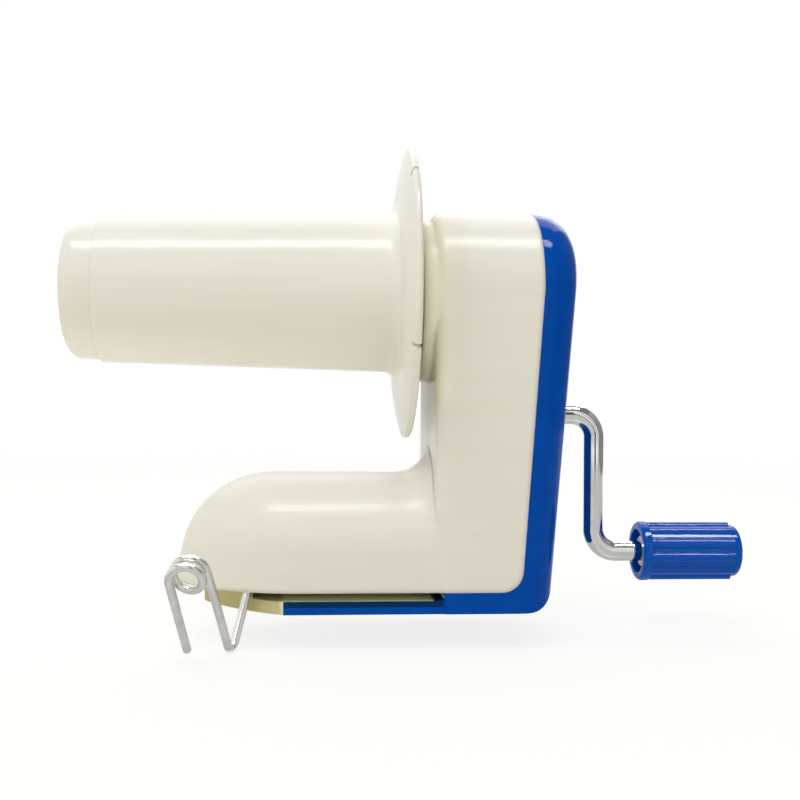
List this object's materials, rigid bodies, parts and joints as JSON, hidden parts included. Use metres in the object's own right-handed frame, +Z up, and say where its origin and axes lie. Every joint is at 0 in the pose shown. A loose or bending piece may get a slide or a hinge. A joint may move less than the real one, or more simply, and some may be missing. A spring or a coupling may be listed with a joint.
{
  "type": "yarn ball winder",
  "caption": "Hand-cranked yarn ball winder: arched upright on a rounded foot, a tapered bobbin with a saucer flange, a bent crank with a ribbed knob and a wire yarn guide.",
  "frame": {"origin": "on the flat underside of the base, in the middle plane, below the front of the upright", "axes": "+X from the bobbin towards the crank, +Y across the casing, +Z up"},
  "size_m": [0.2136, 0.1013, 0.1535],
  "materials": {
    "cream_plastic": "moulded, glossy",
    "blue_plastic": "moulded, glossy",
    "nylon": "moulded, satin",
    "bright_steel": "polished",
    "plain_steel": "plain",
    "bronze": "plain"
  },
  "bodies": {
    "casing": {"front_casing": "cream_plastic", "rear_cover": "blue_plastic", "foot_plate": "cream_plastic", "casing_screws": "plain_steel", "foot_screws": "plain_steel", "sun_gear": "nylon", "rotor_bush": "bronze", "crank_bush": "bronze", "crank_washer": "plain_steel", "idler_axle": "plain_steel"},
    "crank": {"crank_rod": "bright_steel", "drive_gear": "nylon", "drive_pin": "plain_steel", "knob_ring": "plain_steel", "knob_retainer": "plain_steel"},
    "knob": {"knob": "blue_plastic"},
    "idler": {"idler_gear": "nylon"},
    "rotor": {"rotor_shaft": "plain_steel", "rotor_pinion": "nylon", "rotor_head": "nylon", "rotor_clip": "plain_steel", "thrust_washer": "bronze", "planet_pin": "plain_steel", "spindle": "plain_steel", "spindle_washer": "plain_steel", "spindle_screw": "plain_steel"},
    "planet": {"planet_gear": "nylon"},
    "bobbin": {"bobbin": "cream_plastic", "ring_gear": "nylon", "bobbin_cap": "cream_plastic"},
    "guide": {"yarn_guide": "bright_steel"}
  },
  "joints": [
    {"name": "crank_turn", "type": "hinge", "parent": "casing", "child": "crank", "pos_m": [0.03, 0, 0.05929], "axis": [1, 0, 0], "continuous": true},
    {"name": "knob_spin", "type": "hinge", "parent": "crank", "child": "knob", "pos_m": [0.089, 0, 0.01499], "axis": [1, 0, 0], "continuous": true},
    {"name": "idler_turn", "type": "hinge", "parent": "casing", "child": "idler", "pos_m": [0.025, 0, 0.08129], "axis": [1, 0, 0], "continuous": true},
    {"name": "rotor_turn", "type": "hinge", "parent": "casing", "child": "rotor", "pos_m": [-0.0238, 0, 0.0971], "axis": [0.9956, 0, -0.0941], "continuous": true},
    {"name": "planet_turn", "type": "hinge", "parent": "rotor", "child": "planet", "pos_m": [-0.00063, 0, 0.08512], "axis": [0.9956, 0, -0.0941], "continuous": true},
    {"name": "bobbin_turn", "type": "hinge", "parent": "rotor", "child": "bobbin", "pos_m": [-0.0238, 0, 0.0971], "axis": [1, 0, 0], "continuous": true},
    {"name": "guide_swing", "type": "hinge", "parent": "casing", "child": "guide", "pos_m": [-0.0513, -0.0205, 0.0062], "axis": [0.2325, 0.1808, 0.9557], "range_deg": [-35, 35]}
  ],
  "couplings": [
    {"joint": "idler_turn", "follows": "crank_turn", "ratio": -3},
    {"joint": "rotor_turn", "follows": "crank_turn", "ratio": 4},
    {"joint": "planet_turn", "follows": "crank_turn", "ratio": 4.6667},
    {"joint": "bobbin_turn", "follows": "crank_turn", "ratio": 1.2727}
  ]
}
